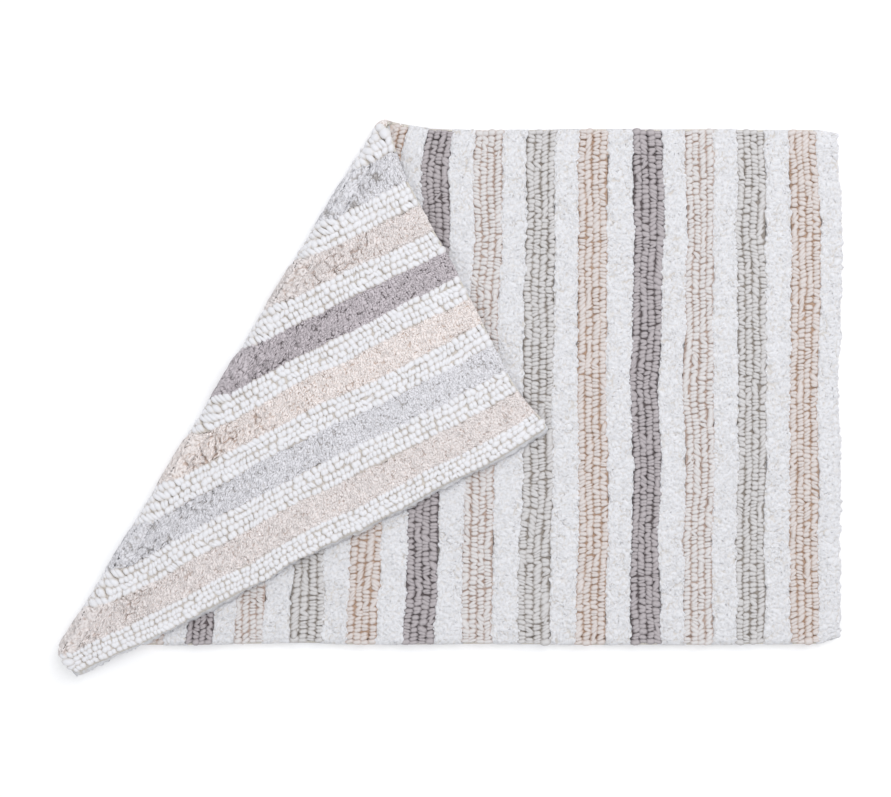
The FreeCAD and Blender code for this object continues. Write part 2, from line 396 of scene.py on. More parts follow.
def bars(u, v, turn, length, width, low, high, shape):
    """Loops of yarn seen from above as plump bars. Along a bar, t runs from -1 to 1; the half
    width is that of a rounded bar, root of 1 - |t|^3; the crown drops by 0.3 t^4 of the height;
    the section is an ellipse whose radius swells twice round as it twists along, for two plies.
    """
    sides, rings = shape
    t = np.sin(np.linspace(-math.pi / 2, math.pi / 2, rings + 2))[1:-1]
    around = np.linspace(0, 2 * math.pi, sides, endpoint=False)
    plump = np.sqrt(1 - np.abs(t) ** 3)[:, None]
    ply = 1 + 0.09 * np.cos(2 * around[None, :] - 3.2 * t[:, None])
    local_x = np.repeat(t, sides)
    wide, tall = superellipse(around, 0.85)
    local_y = (plump * ply * wide).ravel()
    local_z = (plump * ply * tall).ravel()
    drop = np.repeat(0.30 * t ** 4, sides)
    local_x = np.concatenate([local_x, [-1, 1]])
    local_y = np.concatenate([local_y, [0, 0]])
    local_z = np.concatenate([local_z, [0, 0]])
    drop = np.concatenate([drop, [0.42, 0.42]])
    rise = (high - low)[:, None]
    along = local_x * length[:, None] / 2
    aside = local_y * width[:, None] / 2
    h = low[:, None] + rise * (0.5 + 0.5 * local_z) - rise * drop * (0.5 + 0.5 * local_z)
    cos, sin = np.cos(turn)[:, None], np.sin(turn)[:, None]
    points = np.stack([u[:, None] + along * cos - aside * sin,
                       v[:, None] + along * sin + aside * cos, h], axis=-1)
    base = (np.arange(len(u)) * len(local_x))[:, None, None]
    faces = [(part[None] + base).reshape(-1, part.shape[1]) for part in tube_faces(rings, sides)]
    # Painted shade: a loop's top takes the lit colour, its sides and ends the shade colour.
    light_share = np.clip(0.5 + 0.5 * local_z - drop, 0, 1)[None, :] * np.ones((len(u), 1))
    angle = np.concatenate([np.tile(around, rings), [0, 0]])
    yarn = np.stack([along, np.broadcast_to(angle[None] * 0.001, along.shape)], axis=-1)
    return points.reshape(-1, 3), faces, light_share.ravel(), yarn.reshape(-1, 2)


def row_of_loops(low_u, high_u, rows, pitch, seed):
    """The place and turn of every loop of a band: rows across it, stitches a pitch apart along
    it, both wandering, one near each edge, and stretches where the loops lie over like the
    strands of a rope. Each loop fills the room between its neighbours and a quarter more, so
    that they crowd, and one that lies askew is longer by 1 / cos of its turn."""
    rng = np.random.default_rng(seed)
    gauge = (high_u - low_u) / rows
    reach = HALF_WIDTH - 0.0012
    count = int(2 * reach / pitch)
    found = []
    for row in range(rows):
        steps = (np.arange(count) + 0.5 + rng.uniform(-0.35, 0.35)) / count
        v = (2 * steps - 1) * reach
        v = v + pitch * 0.9 * ripple(v, 0.022, seed + row)
        v = np.sort(v + rng.uniform(-0.30, 0.30, count) * pitch)
        last = reach - pitch * (0.62 + 0.17 * scatter(row, seed, 5))
        v = (2 * (v - v[0]) / (v[-1] - v[0]) - 1) * last
        room = np.maximum(np.gradient(v), pitch * 0.6)
        u = low_u + gauge * (row + 0.5) + 0.0008 * ripple(v, 0.020, seed + 40 + row)
        u = u + 0.0016 * ripple(v, 0.050, seed + 80) + rng.uniform(-1, 1, count) * 0.0004
        rope = ease(ripple(v, 0.030, seed + 120 + row) * 2.4 - 0.6)
        way = np.where(scatter(row, seed, 3) > 0, 1.0, -1.0)
        turn = way * (0.10 + 0.50 * rope) + 0.62 * ripple(v, 0.0085, seed + 160 + row)
        turn = turn + rng.normal(0, 0.26, count)
        turn = np.where(rng.random(count) < 0.05, turn + rng.uniform(0.6, 1.1, count), turn)
        turn = turn * (0.25 + 0.75 * ease((reach - np.abs(v)) / 0.012))
        length = gauge * 1.46 * rng.uniform(0.90, 1.12, count)
        length = length / np.maximum(np.cos(turn), 0.66)
        width = room * 1.24 * rng.uniform(0.92, 1.12, count)
        high = 1 + rng.normal(0, 0.06, count) + 0.06 * ripple(v, 0.03, seed + 200 + row)
        found.append(np.stack([u, v, turn, length, width, high], axis=1))
    return np.concatenate(found)


def add_loops(skin, band, side, limits, part, material, shape):
    """A band's loops between two lines of the fold, on the front or the back. The last loops at
    the mat's edge have no neighbour to shade them, so they are pale down to the foot."""
    size = sizes()
    low_u, high_u = band["loops"]
    loops = row_of_loops(low_u, high_u, band["rows"], band["pitch"], band["seed"])
    s = across(loops[:, 0], loops[:, 1])
    kept = (s >= limits[0]) & (s < limits[1])
    loops = loops[kept]
    if not len(loops):
        return
    u, v, turn, length, width, high = loops.T
    over_hem = (np.abs(v) > HALF_WIDTH - HEM_WIDTH) | (np.abs(u) > HALF_LENGTH - HEM_WIDTH)
    low = np.where(over_hem, HEM_THICK / 2 - SUNK, CLOTH_THICK * 0.3)
    crown = CLOTH_THICK / 2 + size.loop_height * high
    if side < 0:
        crown = crown + belly(s[kept])
    points, faces, light_share, yarn = bars(u, v, turn, length, width, low, crown, shape)
    in_light = 0.80 * ease((np.abs(v) - HALF_WIDTH + 0.007) / 0.003)
    light_share = np.maximum(light_share.reshape(len(u), -1), in_light[:, None]).ravel()
    skin.add(points, side, part, faces, material, light_share, yarn)


def relief(u, v, s, side, seed):
    """How far cut pile stands below its highest: domes of tufts with furrows between them, each
    tuft bent by noise; low hollows; and on the outside of the fold partings that fan open.
    Given in full, and without the hollows."""
    bend_u = u + 0.0019 * noise(u, v, 0.0052, seed + 1)
    bend_v = v + 0.0019 * noise(u, v, 0.0047, seed + 2)
    if side > 0:
        way = 1.5 * noise(u, v, 0.017, seed + 3)
        first, furrow = tufts(bend_u + (bend_v + way * 0.004) * 0.45,
                              (bend_v - bend_u * 0.45) / 2.4, 0.0029, seed + 4)
        strand = ease(1 - 7.0 * np.abs(noise(bend_u, bend_v, 0.0052, seed + 10)))
        strand = strand * ease(noise(u, v, 0.015, seed + 15) * 1.7 + 0.5)
        fine = 0.00130 * ease(1 - furrow / 0.45) + 0.00060 * first + 0.0015 * strand
    else:
        first, furrow = tufts(bend_u, bend_v, 0.0024, seed + 4)
        pit = ease(noise(u, v, 0.0022, seed + 9) * 2.6 - 1.1)
        fine = 0.00140 * ease(1 - furrow / 0.34) + 0.00055 * first + 0.0012 * pit
    parting = ease(1 - 7.0 * np.abs(noise(bend_u, bend_v, 0.0054, seed + 7)))
    mask = ease(noise(u, v, 0.020, seed + 8) * 1.6 + 0.62)
    fan = 0.0034 * np.exp(-((s - 0.030) / 0.026) ** 2) if side < 0 else 0.0006
    fine = fine + fan * parting * mask
    fine = 0.0028 * np.tanh(fine / 0.0028) if side > 0 else fine
    hollows = 0.00040 * (1 - noise(u, v, 0.0075, seed + 5))
    hollows = hollows + 0.00045 * (1 - noise(u, v, 0.019, seed + 6))
    return fine + hollows, fine


def spread(u, span):
    """Place across a band: -1 at the low end of its span and 1 at the high end."""
    return (2 * u - span[0] - span[1]) / (span[1] - span[0])


def pile_height(u, v, band, side):
    """Height of the cut pile: full in the band, rounding down to its edges as the fourth root of
    1 - q^8, and again at the edges of the mat, and standing out on the outside of the fold, less
    the relief. Also gives the relief without its hollows."""
    size = sizes()
    q = np.clip(spread(u, band["pile"]), -1, 1)
    round_u = (1 - np.abs(q) ** 8) ** 0.25
    round_v = 0.25 + 0.75 * np.sqrt(np.clip((HALF_WIDTH - np.abs(v)) / 0.006, 0, 1))
    ends = 0.5 + 0.5 * np.sqrt(np.clip((HALF_LENGTH - np.abs(u)) / 0.005, 0, 1))
    s = across(u, v)
    hollow, fine = relief(u, v, s, side, band["seed"])
    outside = belly(s) if side < 0 else 0
    stand = (size.pile_height + 0.0006 + outside) * round_u * np.minimum(round_v, ends)
    return CLOTH_THICK / 2 + np.maximum(stand - hollow, 0.0002), fine


def furrow_light(fine):
    """Share of lit colour over painted shade: all down to 0.5 mm in a furrow, none below 2.3 mm.
    """
    return np.clip(1 - (fine - 0.0005) / 0.0018, 0, 1)


def ground(span, limits, grain):
    """A grid over a band between two lines of the fold: u across the band, closer together at
    its sides, and v from one line to the other. None where the lines miss the band."""
    u = np.linspace(*span, 200)
    start, finish = span_between(u, limits, 1, HALF_WIDTH)
    met = u[finish - start > 0.0008]
    if not len(met):
        return None
    columns = max(5, int((met[-1] - met[0]) / grain))
    q = np.linspace(0, 1, columns)
    u = met[0] + (met[-1] - met[0]) * (0.6 * q + 0.4 * (0.5 - 0.5 * np.cos(math.pi * q)))
    start, finish = span_between(u, limits, 1, HALF_WIDTH)
    finish = np.maximum(finish, start + 0.0002)
    rows = max(3, int((finish - start).max() / grain) + 1)
    p = np.linspace(0, 1, rows)[:, None]
    return np.broadcast_to(u, (rows, columns)), start + (finish - start) * p


def add_blanket(skin, top, tips, side, part, material):
    """A closed blanket: the grid of its top, two rows of points under it on the cloth, and a fan
    of triangles at each end."""
    rows, columns = top.shape[:2]
    foot = top[:, [-1, 0]].copy()
    foot[..., 2] = CLOTH_THICK * 0.42
    rings = np.concatenate([top, foot], axis=1)
    points = with_hubs(rings)
    faces = tube_faces(rows, columns + 2)
    # Painted light and shade: the foot takes that of the top's edge, and each hub the mean of its
    # row.
    light_share = np.concatenate([np.concatenate([tips, tips[:, [-1, 0]]], axis=1).ravel(),
                          [tips[0].mean(), tips[-1].mean()]])
    skin.add(points, side, part, faces, material, light_share)


def add_pile(skin, band, side, limits, part, material, grain):
    """A band's cut pile between two lines of the fold. Its tips stray by noise, spill a little
    over their neighbours, and reach past the mat's edge by the fringe."""
    size = sizes()
    found = ground(band["pile"], limits, grain)
    if found is None:
        return
    u, v = found
    seed = band["seed"]
    height, fine = pile_height(u, v, band, side)
    ragged = 0.0015 * noise(v, 0 * v + side, 0.0042, seed + 13)
    ragged = ragged + 0.0016 * noise(v, 0 * v + side, 0.019, seed + 14)
    inside = (np.abs(v) < HALF_WIDTH - 0.0005).astype(float)
    reach = size.fringe * height / (CLOTH_THICK / 2 + size.pile_height)
    top_u = u + 0.0006 * noise(u, v, 0.0031, seed + 11) + ragged * spread(u, band["pile"]) ** 3
    splay = np.where(u < 0, 3.4, 0.9) * np.exp((np.abs(u) - HALF_LENGTH) / 0.006)
    top_u = top_u + reach * splay * np.sign(u)
    top_v = v + 0.0005 * noise(u, v, 0.0027, seed + 12) * inside
    top_v = top_v + reach * (0.3 if side > 0 else 0.55) * (v / HALF_WIDTH) ** 41
    top = np.stack([top_u, top_v, height], axis=-1)
    add_blanket(skin, top, furrow_light(fine), side, part, material)
    add_ends(skin, band, side, (u[0], v[0], v[-1]), part, material, grain)


def add_bed(skin, band, side, limits, part, material):
    """The lower part of a band's loops, where they crowd together: a low blanket that shows
    only in the gaps between them, painted mostly in the shade colour for the shade there."""
    size = sizes()
    found = ground(band["loops"], limits, BED_GRAIN)
    if found is None:
        return
    u, v = found
    ends = 0.35 + 0.65 * ease((HALF_WIDTH - np.abs(v)) / 0.010)
    height = CLOTH_THICK / 2 + size.loop_height * (0.60 * ends + 0.06 * noise(u, v, 0.006, 3))
    top = np.stack([u, v * (1 - 0.004 / HALF_WIDTH), height], axis=-1)
    # Painted shade: the blanket's share of lit colour is held at 0.66, mostly shade.
    add_blanket(skin, top, np.full(u.shape, 0.66), side, part, material)


def add_ends(skin, band, side, area, part, material, grain):
    """Loose ends of yarn on the pile: long three-sided pyramids leaning over by about their
    own height, one to each few square millimetres."""
    u_line, start, finish = area
    rng = np.random.default_rng(band["seed"] * 7 + 3)
    spacing = 0.0034 if grain < HIDDEN_GRAIN else 0.0060
    full = int((u_line[-1] - u_line[0]) * 2 * HALF_WIDTH / spacing ** 2)
    u = rng.uniform(u_line[0] + 0.001, u_line[-1] - 0.001, full)
    v = rng.uniform(-HALF_WIDTH + 0.001, HALF_WIDTH - 0.001, full)
    lean_to = rng.uniform(0, 2 * math.pi, full) * 0.45 + 2.6 * noise(u, v, 0.014, band["seed"])
    reach = rng.uniform(0.0014, 0.0032, full) * (1.0 if side > 0 else 0.55)
    rise = rng.uniform(-0.0001, 0.0004, full) + (0 if side > 0 else 0.0002)
    thick = rng.uniform(0.0005, 0.0009, full)
    keep = (v > np.interp(u, u_line, start)) & (v < np.interp(u, u_line, finish))
    u, v, lean_to, reach, rise, thick = [a[keep] for a in (u, v, lean_to, reach, rise, thick)]
    if not len(u):
        return
    top, fine = pile_height(u, v, band, side)
    feet = [(lean_to + 2 * math.pi * k / 3, thick, -0.0010) for k in range(3)]
    corners = [np.stack([u + out * np.cos(angle), v + out * np.sin(angle), top + up], axis=-1)
               for angle, out, up in feet + [(lean_to, reach, rise)]]
    points = np.stack(corners, axis=1).reshape(-1, 3)
    base = (np.arange(len(u)) * 4)[:, None, None]
    tetra = np.array([[0, 2, 1], [0, 1, 3], [1, 2, 3], [2, 0, 3]])
    faces = [(tetra[None] + base).reshape(-1, 3)]
    # Painted shade at the feet of each loose end, and the lit colour at its point.
    light_share = np.stack([furrow_light(fine) - 0.2] * 3 + [np.ones(len(u))], axis=1).ravel()
    skin.add(points, side, part, faces, material, np.clip(light_share, 0, 1))


# Bands

def make_bands():
    """Every band of yarn across the mat, from the turned-over end: its nodes' name, colour,
    face of its loops, and the spans of its loops and of its pile."""
    size = sizes()
    found = []
    white = PITCH - STRIPE_WIDTH
    spill = size.spill
    for index in range(1, STRIPES + 1):
        colour = COLOURS[(index - 1) % len(COLOURS)]
        low = FIRST_STRIPE + (index - 1) * PITCH
        high = low + STRIPE_WIDTH
        found.append({"name": f"stripe_{index:02d}_{colour}", "colour": colour, "side": 1,
                      "loops": (low, high), "pile": (low - spill, high + spill),
                      "rows": size.stripe_rows, "pitch": size.stripe_stitch,
                      "seed": 1000 + index * 17})
    for index in range(1, STRIPES + 2):
        low = FIRST_STRIPE + (index - 1) * PITCH - white
        high = low + white
        loops = [low, high]
        pile = [low - spill * 0.8, high + spill * 0.8]
        if index == 1:
            loops[0], pile[0] = -HALF_LENGTH + END_LOOPS, -HALF_LENGTH + END_PILE
        if index == STRIPES + 1:
            loops[1], pile[1] = HALF_LENGTH - END_LOOPS, HALF_LENGTH - END_PILE
        found.append({"name": f"white_band_{index:02d}", "colour": "white", "side": -1,
                      "loops": loops, "pile": pile,
                      "rows": size.white_rows, "pitch": size.white_stitch,
                      "seed": 3000 + index * 17})
    return found


def add_face(skin, band, side, limits, part, wears, shown):
    """A band's front or back. A coloured band has its loops on the front and cut pile on the
    back, and a white one the other way round."""
    colour = band["colour"]
    if side == band["side"]:
        add_bed(skin, band, side, limits, part, wears[colour, "loops"])
        add_loops(skin, band, side, limits, part, wears[colour, "loops"],
                  LOOP_SHAPE if shown else HIDDEN_LOOP)
    else:
        grain = FRONT_GRAIN if side > 0 else BACK_GRAIN
        add_pile(skin, band, side, limits, part, wears[colour, "pile"],
                 grain if shown else HIDDEN_GRAIN)


def yarn_pieces(bands):
    """One piece for each band on the main part and on the flap, in place of its CAD node."""
    for band in bands:
        colour = band["colour"]
        materials = [yarn_material(colour, "loops"), yarn_material(colour, "pile")]
        wears = {(colour, "loops"): 0, (colour, "pile"): 1}
        for prefix, body, part, front, back in FLAT_PARTS:
            node = prefix + band["name"]
            if node not in frame["nodes"]:
                continue
            skin = Skin()
            add_face(skin, band, 1, front, part, wears, part == 0)
            add_face(skin, band, -1, back, part, wears, part == FOLDS)
            piece = skin.piece(f"{node}_yarn", materials)
            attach(piece, body)
            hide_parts(node)


# Materials

def linear(value):
    """An sRGB hex colour, "RRGGBB", as linear numbers."""
    parts = np.array([int(value[i:i + 2], 16) / 255 for i in (0, 2, 4)])
    return tuple(np.where(parts <= 0.04045, parts / 12.92, ((parts + 0.055) / 1.055) ** 2.4))


def add_node(tree, kind, settings=None, links=None, values=None):
    """A shader node with its settings, the outputs linked to its inputs, and its input
    values."""
    made = tree.nodes.new("ShaderNode" + kind)
    for name, value in (settings or {}).items():
        setattr(made, name, value)
    for name, value in (values or {}).items():
        made.inputs[name].default_value = value
    for name, source in (links or {}).items():
        tree.links.new(source, made.inputs[name])
    return made


def new_material(name):
    """An empty material and its node tree, or None for the tree if it is made already."""
    found = bpy.data.materials.get(name)
    if found:
        return found, None
    found = bpy.data.materials.new(name)
    found.use_nodes = True
    found.node_tree.nodes.clear()
    return found, found.node_tree


def wave_scale(half):
    """The scale of straight waves whose crests are twice this length apart."""
    return 1 / half / 6.28


def finish_cloth(tree, colour, height, strength, distance, sheen):
    """A woven or spun surface: rough, with a soft sheen from loose fibres, and its bump."""
    bump = add_node(tree, "Bump", links={"Height": height},
                    values={"Strength": strength, "Distance": distance})
    shader = add_node(tree, "BsdfPrincipled",
                      links={"Base Color": colour, "Normal": bump.outputs["Normal"]},
                      values={"Roughness": 0.92, "Specular IOR Level": 0.12,
                              "Sheen Weight": sheen, "Sheen Roughness": 0.6, "IOR": 1.5})
    add_node(tree, "OutputMaterial", links={"Surface": shader.outputs["BSDF"]})


def yarn_material(colour, kind):
    """Spun cotton yarn. On loops the two plies show as slanting lines 2.2 mm apart, and shade is
    painted on the yarn where it goes down between its neighbours. Cut pile is the same yarn
    untwisted: clumps of fibre 0.9 mm apart and finer, drawn that coarse to show, and specks of
    painted shade 2.6 mm apart where the tufts part. A white or taupe pile takes a deeper painted
    shade in its furrows than the others do, as it keeps less of its crown's colour there."""
    shades = bpy.context.scene.bath_mat_colours
    material, tree = new_material(f"spun cotton {kind}, {colour}")
    if tree is None:
        return material
    light_share = add_node(tree, "Attribute", {"attribute_name": "light_share"}).outputs["Fac"]
    place = add_node(tree, "TexCoord").outputs["Object"]
    crown = np.array(getattr(shades, colour))
    # The second colour is painted shade, low between the loops and tufts.
    root = np.array(getattr(shades, f"{colour}_root"))
    reach = (0.60, 1.0) if kind == "loops" else (0.0, 0.9)
    if kind == "pile":
        crown = np.array(getattr(shades, f"{colour}_pile"))
        # Painted shade in the pile's furrows keeps only this share of the pile's colour.
        crown_kept = {"white": 0.15, "taupe": 0.10}.get(colour, 0.38)
        root = root * (1 - crown_kept) + crown * crown_kept
    # Painted shade: from the shade colour to the lit crown colour as the share of light rises.
    shade_mix = add_node(tree, "MapRange", {"interpolation_type": "SMOOTHSTEP"},
                     {"Value": light_share}, {"From Min": reach[0], "From Max": reach[1]})
    dyed_and_shaded = add_node(tree, "Mix", {"data_type": "RGBA"}, {0: shade_mix.outputs[0]},
                      {6: (*root, 1), 7: (*crown, 1)}).outputs[2]
    dye_and_shade_mottles = [(0.011, 3.0, 0.6, 0.3, 0.7, 0.965, 1.03)]     # uneven dye, 11 mm apart
    if kind == "pile":
        darkest = {"white": 0.90, "taupe": 0.78}.get(colour, 0.83)
        # Painted shade in specks where the tufts part.
        dye_and_shade_mottles.append((0.0026, 2.0, 0.5, 0.32, 0.52, darkest, 1.02))
    for size, detail, roughness, dark_at, bright_at, dark, bright in dye_and_shade_mottles:
        patch = add_node(tree, "TexNoise", None, {"Vector": place},
                         {"Scale": 1 / size, "Detail": detail, "Roughness": roughness})
        tone = add_node(tree, "MapRange", None, {"Value": patch.outputs["Fac"]},
                        {"From Min": dark_at, "From Max": bright_at,
                         "To Min": dark, "To Max": bright})
        dyed_and_shaded = add_node(tree, "VectorMath", {"operation": "SCALE"},
                          {0: dyed_and_shaded, "Scale": tone.outputs[0]}).outputs[0]
    if kind == "loops":
        yarn = add_node(tree, "Attribute", {"attribute_name": "yarn"}).outputs["Vector"]
        turned = add_node(tree, "Mapping", None, {"Vector": yarn},
                          {"Rotation": (0, 0, 0.7)})
        ply = add_node(tree, "TexWave", {"wave_profile": "SIN"},
                       {"Vector": turned.outputs[0]},
                       {"Scale": wave_scale(0.0011), "Distortion": 1.2, "Detail": 2.0})
        height, strength, distance = ply.outputs["Fac"], 0.35, 0.00025
    else:
        fibres = add_node(tree, "TexNoise", None, {"Vector": place},
                          {"Scale": 1 / 0.0009, "Detail": 4.0, "Roughness": 0.7})
        height, strength, distance = fibres.outputs["Fac"], 0.5, 0.0004
    finish_cloth(tree, dyed_and_shaded, height, strength, distance, 0.22)
    return material


def cloth_material():
    """Plain woven cotton, undyed: threads 1.8 mm apart both ways, drawn that coarse to show."""
    shades = bpy.context.scene.bath_mat_colours
    material, tree = new_material("plain woven cotton")
    if tree is None:
        return material
    place = add_node(tree, "TexCoord").outputs["Object"]
    threads = []
    for way in ("X", "Y"):
        wave = add_node(tree, "TexWave", {"bands_direction": way}, {"Vector": place},
                        {"Scale": wave_scale(0.0009), "Distortion": 0.6, "Detail": 1.0})
        threads.append(wave.outputs["Fac"])
    weave = add_node(tree, "Math", {"operation": "MULTIPLY"},
                     {0: threads[0], 1: threads[1]})
    # Painted shade in the low places of the weave, between the threads.
    tone = add_node(tree, "Mix", {"data_type": "RGBA"}, {0: weave.outputs[0]},
                    {6: (*[c * 0.72 for c in shades.cloth], 1), 7: (*shades.cloth, 1)})
    finish_cloth(tree, tone.outputs[2], weave.outputs[0], 0.5, 0.0003, 0.1)
    return material


def thread_material():
    """Spun sewing thread: a fine twist 1.1 mm long, a little brighter than the cloth."""
    shades = bpy.context.scene.bath_mat_colours
    material, tree = new_material("spun sewing thread")
    if tree is None:
        return material
    place = add_node(tree, "TexCoord").outputs["Object"]
    twist = add_node(tree, "TexWave", {"bands_direction": "DIAGONAL"},
                     {"Vector": place}, {"Scale": wave_scale(0.0005), "Distortion": 0.8})
    # Painted shade in the grooves of the twist.
    tone = add_node(tree, "Mix", {"data_type": "RGBA"}, {0: twist.outputs["Fac"]},
                    {6: (*[c * 0.8 for c in shades.thread], 1), 7: (*shades.thread, 1)})
    finish_cloth(tree, tone.outputs[2], twist.outputs["Fac"], 0.4, 0.0001, 0.1)
    return material


# Base cloth and hem

def add_sheet(skin, limits, part, material):
    """The base cloth between two lines of the fold: a grid in u and v, one layer above the
    other by the cloth's thickness, closed round its edge."""
    reach_u = HALF_LENGTH - HEM_WIDTH * 0.5
    reach_v = HALF_WIDTH - HEM_WIDTH * 0.5
    v_line = np.linspace(-reach_v, reach_v, 90)
    low, high = span_between(v_line, limits, 0, reach_u)
    columns = 9 if part == "nose" else 70
    q = np.linspace(0, 1, columns)
    grid_u = low[:, None] + (high - low)[:, None] * q
    grid_v = np.broadcast_to(v_line[:, None], grid_u.shape)
    under, over = [np.stack([grid_u, grid_v, np.full(grid_u.shape, h)], axis=-1)
                   for h in (-CLOTH_THICK / 2, CLOTH_THICK / 2)]
    width = 2 * columns
    points = np.concatenate([over, under[:, ::-1]], axis=1).reshape(-1, 3)
    side = np.arange(columns - 1)
    last = (len(v_line) - 1) * width
    end = np.stack([side, width - 1 - side, width - 2 - side, side + 1], axis=1)
    faces = [strip_faces(len(v_line), width, True), end, (end + last)[:, ::-1]]
    skin.add(points, 1, part, faces, material)


def outline(limits, inset, step):
    """Points round the mat's edge, anticlockwise, that lie between two lines of the fold, as
    separate unbroken runs of (u, v, heading)."""
    reach_u = HALF_LENGTH - inset
    reach_v = HALF_WIDTH - inset
    round_corner = 0.006
    u_line, v_line = [], []
    for k, (way_u, way_v) in enumerate(((1, -1), (1, 1), (-1, 1), (-1, -1))):
        angle = (k - 1 + np.linspace(0, 1, 6)) * math.pi / 2
        u_line.append(way_u * reach_u - way_u * round_corner + round_corner * np.cos(angle))
        v_line.append(way_v * reach_v - way_v * round_corner + round_corner * np.sin(angle))
    u_all = np.append(u_line, u_line[0][0])
    v_all = np.append(v_line, v_line[0][0])
    run = np.concatenate([[0], np.cumsum(np.hypot(np.diff(u_all), np.diff(v_all)))])
    at = np.arange(0, run[-1], step)
    u = np.interp(at, run, u_all)
    v = np.interp(at, run, v_all)
    s = across(u, v)
    inside = (s >= limits[0]) & (s <= limits[1])
    turn = np.arctan2(np.gradient(v), np.gradient(u))
    start = int(np.argmin(inside)) if not inside.all() else 0
    order = np.roll(np.arange(len(u)), -start)
    marks = np.flatnonzero(np.diff(np.concatenate([[0], inside[order].astype(int), [0]])))
    return [(u[order[a:b]], v[order[a:b]], turn[order[a:b]])
            for a, b in marks.reshape(-1, 2) if b - a > 1]


def add_hem(skin, limits, part, material):
    """The turned hem: a superellipse as wide as the hem and as thick, carried along the mat's
    edge, with lumps of an eighth of its size."""
    around = np.linspace(0, 2 * math.pi, 12, endpoint=False)
    wide, tall = superellipse(around, 0.7)
    bulge = wide * HEM_WIDTH / 2
    rise = tall * HEM_THICK / 2
    for u, v, turn in outline(limits, HEM_WIDTH / 2, 0.003):
        lump = 1 + 0.12 * noise(u, v, 0.009, 71)[:, None]
        ring_u = u[:, None] + bulge * lump * np.sin(turn)[:, None]
        ring_v = v[:, None] - bulge * lump * np.cos(turn)[:, None]
        ring_h = rise[None] * lump
        points = with_hubs(np.stack([ring_u, ring_v, ring_h], axis=-1))
        skin.add(points, 1, part, tube_faces(len(u), len(around)), material)


def add_stitches(skin, limits, part, material):
    """The lock stitch: short bars of thread end to end along the hem, on both of its faces."""
    size = sizes()
    for side in (1, -1):
        for u, v, turn in outline(limits, HEM_WIDTH * 0.5, size.hem_stitch):
            many = np.ones(len(u))
            low = many * (HEM_THICK / 2 - SUNK)
            high = many * (HEM_THICK / 2 + THREAD_RISE)
            points, faces, light_share, yarn = bars(u, v, turn, many * size.hem_stitch * 0.92,
                                            many * THREAD_WIDTH, low, high, HIDDEN_LOOP)
            skin.add(points, side, part, faces, material, light_share, yarn)


def cloth_pieces():
    """The base cloth, hem and lock stitch of the main part and of the flap."""
    made = []
    for prefix, body, part, _, limits in FLAT_PARTS:
        kinds = (("base_cloth", add_sheet, cloth_material(), "woven_base_cloth"),
                 ("edge_hem", add_hem, cloth_material(), "turned_hem"),
                 ("hem_thread", add_stitches, thread_material(), "hem_thread"))
        group = []
        for label, fill, material, slot in kinds:
            skin = Skin()
            fill(skin, limits, part, 0)
            piece = skin.piece(f"{prefix}{label}_made", [material])
            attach(piece, body)
            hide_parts(prefix + label)
            group.append(piece)
        made.append(group)
    return made


# The fold

def fold_pieces(bands):
    """The mat round the fold. Its front, inside, is cut at the hinge lines and turns with the
    strips, so that it closes up when the mat is opened. Its back and cloth, outside, bend evenly
    round the fold, in pieces from the middle of one strip to the middle of the next."""
    kinds = [(colour, kind) for colour in YARNS for kind in ("loops", "pile")]
    wears = {key: number for number, key in enumerate(kinds)}
    materials = [yarn_material(colour, kind) for colour, kind in kinds]
    for strip in range(1, FOLDS):
        limits = (FIRST + STEP * (strip - 1), FIRST + STEP * strip)
        skin = Skin()
        for band in bands:
            add_face(skin, band, 1, limits, strip, wears, False)
        piece = skin.piece(f"fold_strip_{strip}_front_yarn", materials)
        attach(piece, BODIES[strip])
        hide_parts(f"fold_strip_{strip}_tufts")
    for hinge in range(FOLDS):
        limits = (NOSE_START + STEP * hinge, NOSE_START + STEP * (hinge + 1))
        yarn = Skin()
        for band in bands:
            add_face(yarn, band, -1, limits, "nose", wears, True)
        cloth = Skin()
        add_sheet(cloth, limits, "nose", 0)
        add_hem(cloth, limits, "nose", 0)
        add_stitches(cloth, limits, "nose", 1)
        pieces = ((yarn, "back_yarn", materials, RADIUS + PILE * 0.75, "yarn_white"),
                  (cloth, "cloth", [cloth_material(), thread_material()], RADIUS,
                   "woven_base_cloth"))
        for skin, label, wear, radius, slot in pieces:
            piece = skin.piece(f"fold_{hinge + 1}_{label}", wear)
            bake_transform(piece)
            if label == "cloth" and hinge > 0:
                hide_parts(f"fold_strip_{hinge}_cloth", f"fold_strip_{hinge}_hem_ends")


# Add-on

def measure(name, about, value):
    """A length that can be set, in metres."""
    return FloatProperty(name=name, description=about, default=value, unit="LENGTH")


class BathMatSizes(bpy.types.PropertyGroup):
    """Sizes that a maker of the mat would set."""
    pile_height: measure("Pile height", "Cut pile above the base cloth", 0.0068)
    loop_height: measure("Loop height", "Crown of a loop above the cloth", 0.0062)
    stripe_rows: IntProperty(name="Stripe rows", description="Rows of loops in a coloured stripe",
                             default=4, min=1)
    white_rows: IntProperty(name="White rows", description="Rows of loops in a white band",
                            default=4, min=1)
    stripe_stitch: measure("Stripe stitch", "From loop to loop", 0.0038)
    white_stitch: measure("White stitch", "From loop to loop", 0.0046)
    hem_stitch: measure("Hem stitch", "Length of a lock stitch", 0.0034)
    spill: measure("Spill", "Coloured pile over the white loops beside it", 0.0016)
    fringe: measure("Fringe", "Pile tips past the edge of the mat", 0.0035)
    lean: measure("Lean", "Most that a stripe leans to one side", 0.030)
    wander: measure("Wander", "Unevenness of the edges and stripes", 0.0022)
    draw: FloatProperty(name="Draw", description="Width left after the edges draw in, of 1",
                        default=0.990, min=0.9, max=1)
    ear: measure("Ear", "How far the ends of the fold push out", 0.007)
    bulge: measure("Bulge", "How far the fold bellies out", 0.0032)
    corner: measure("Corner", "How far the corners are drawn in", 0.009)


